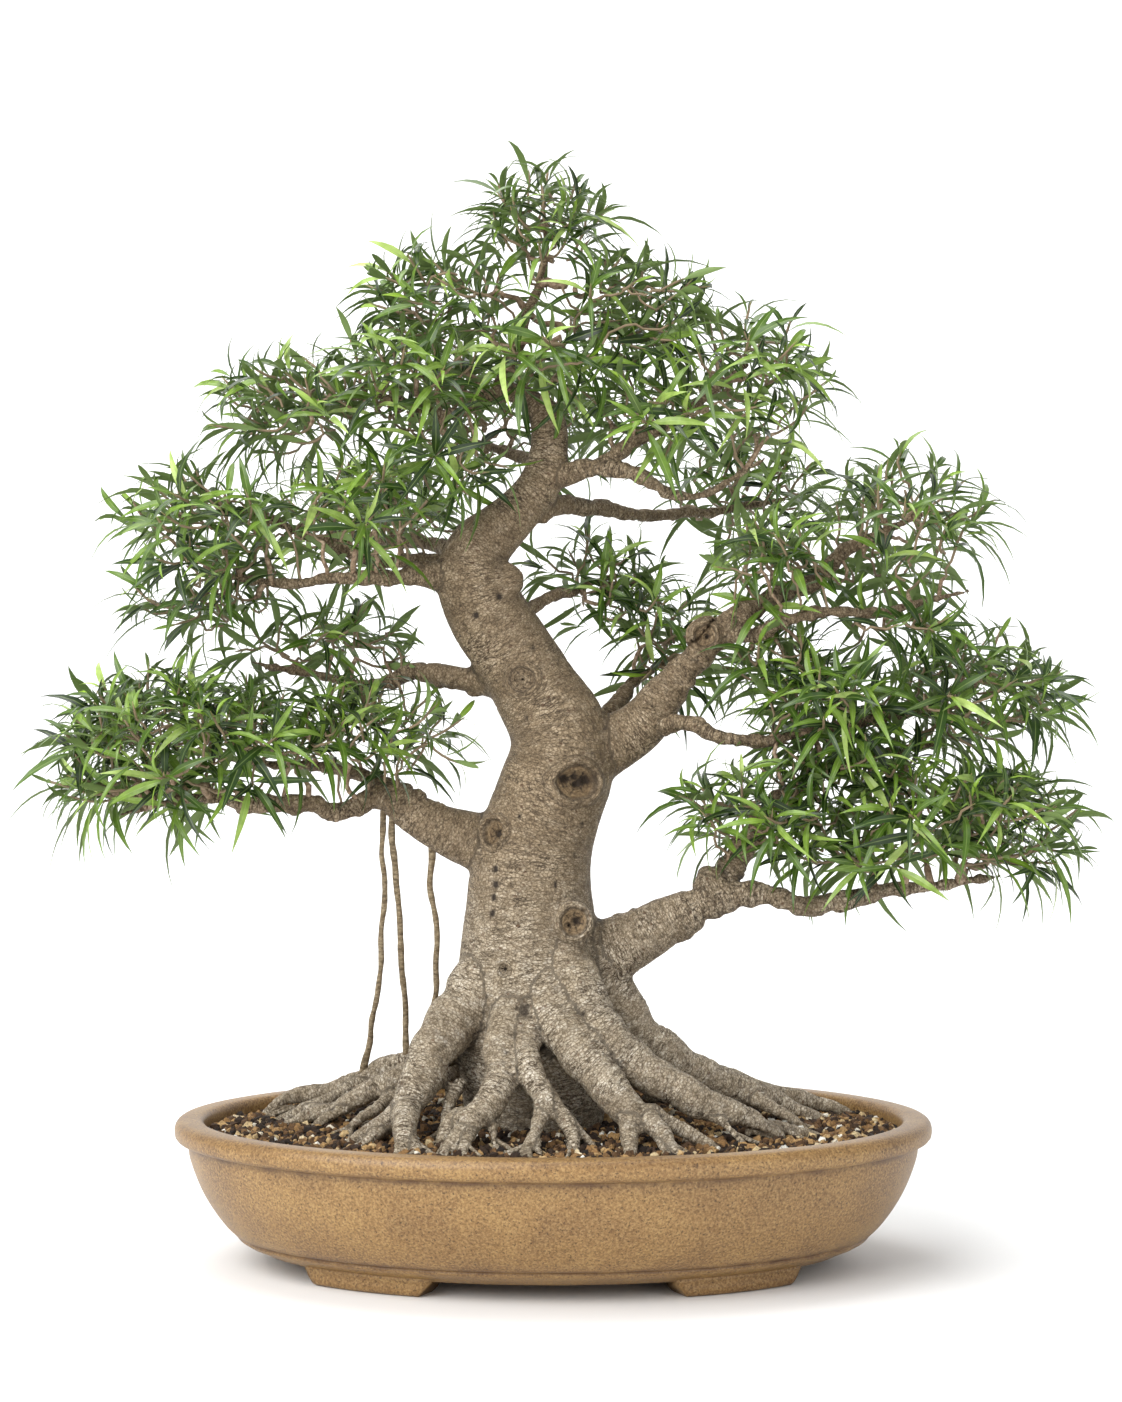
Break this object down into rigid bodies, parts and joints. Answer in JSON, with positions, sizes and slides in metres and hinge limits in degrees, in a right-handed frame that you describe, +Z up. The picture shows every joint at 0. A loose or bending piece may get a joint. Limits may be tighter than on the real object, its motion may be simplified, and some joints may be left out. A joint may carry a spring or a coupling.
{
  "type": "potted bonsai tree",
  "caption": "Willow-leaf fig bonsai with a curved trunk, spreading surface roots and layered leaf clumps, in a low oval glazed stoneware pot.",
  "frame": {"origin": "on the surface the pot stands on, below the middle of the pot", "axes": "+Z up; +X along the pot's long side; -Y towards the side the tree is seen from"},
  "size_m": [0.7096, 0.36, 0.7188],
  "materials": {
    "glazed_stoneware": "satin",
    "bonsai_soil": "matte",
    "screen_plastic": "matte",
    "bonsai_wire": "satin",
    "bark": "matte",
    "aerial_root_bark": "matte",
    "leaves": "satin"
  },
  "bodies": {
    "root": {"pot": "glazed_stoneware", "soil": "bonsai_soil", "drain_screen_left": "screen_plastic", "drain_screen_right": "screen_plastic", "screen_wire_left": "bonsai_wire", "screen_wire_right": "bonsai_wire", "trunk": "bark", "leader": "bark", "limb_crown_left": "bark", "limb_crown_right": "bark", "limb_crown_right_low": "bark", "limb_left_high": "bark", "limb_left_high_upper": "bark", "limb_left_mid": "bark", "limb_left_low": "bark", "limb_left_low_back": "bark", "limb_right_high": "bark", "limb_right_high_low": "bark", "limb_right_mid": "bark", "limb_right_low": "bark", "limb_right_low_riser": "bark", "limb_back_left": "bark", "limb_back_crown": "bark", "limb_back_right": "bark", "limb_back_small": "bark", "limb_notch_back": "bark", "aerial_root_outer": "aerial_root_bark", "aerial_root_middle": "aerial_root_bark", "aerial_root_inner": "aerial_root_bark", "foliage_apex": "leaves", "foliage_crown_left": "leaves", "foliage_crown_right": "leaves", "foliage_left_high": "leaves", "foliage_right_high": "leaves", "foliage_left_mid": "leaves", "foliage_left_low": "leaves", "foliage_right_mid": "leaves", "foliage_right_low": "leaves", "foliage_back_left": "leaves", "foliage_back_crown": "leaves", "foliage_back_right": "leaves", "foliage_back_small": "leaves", "foliage_notch": "leaves"}
  },
  "joints": []
}
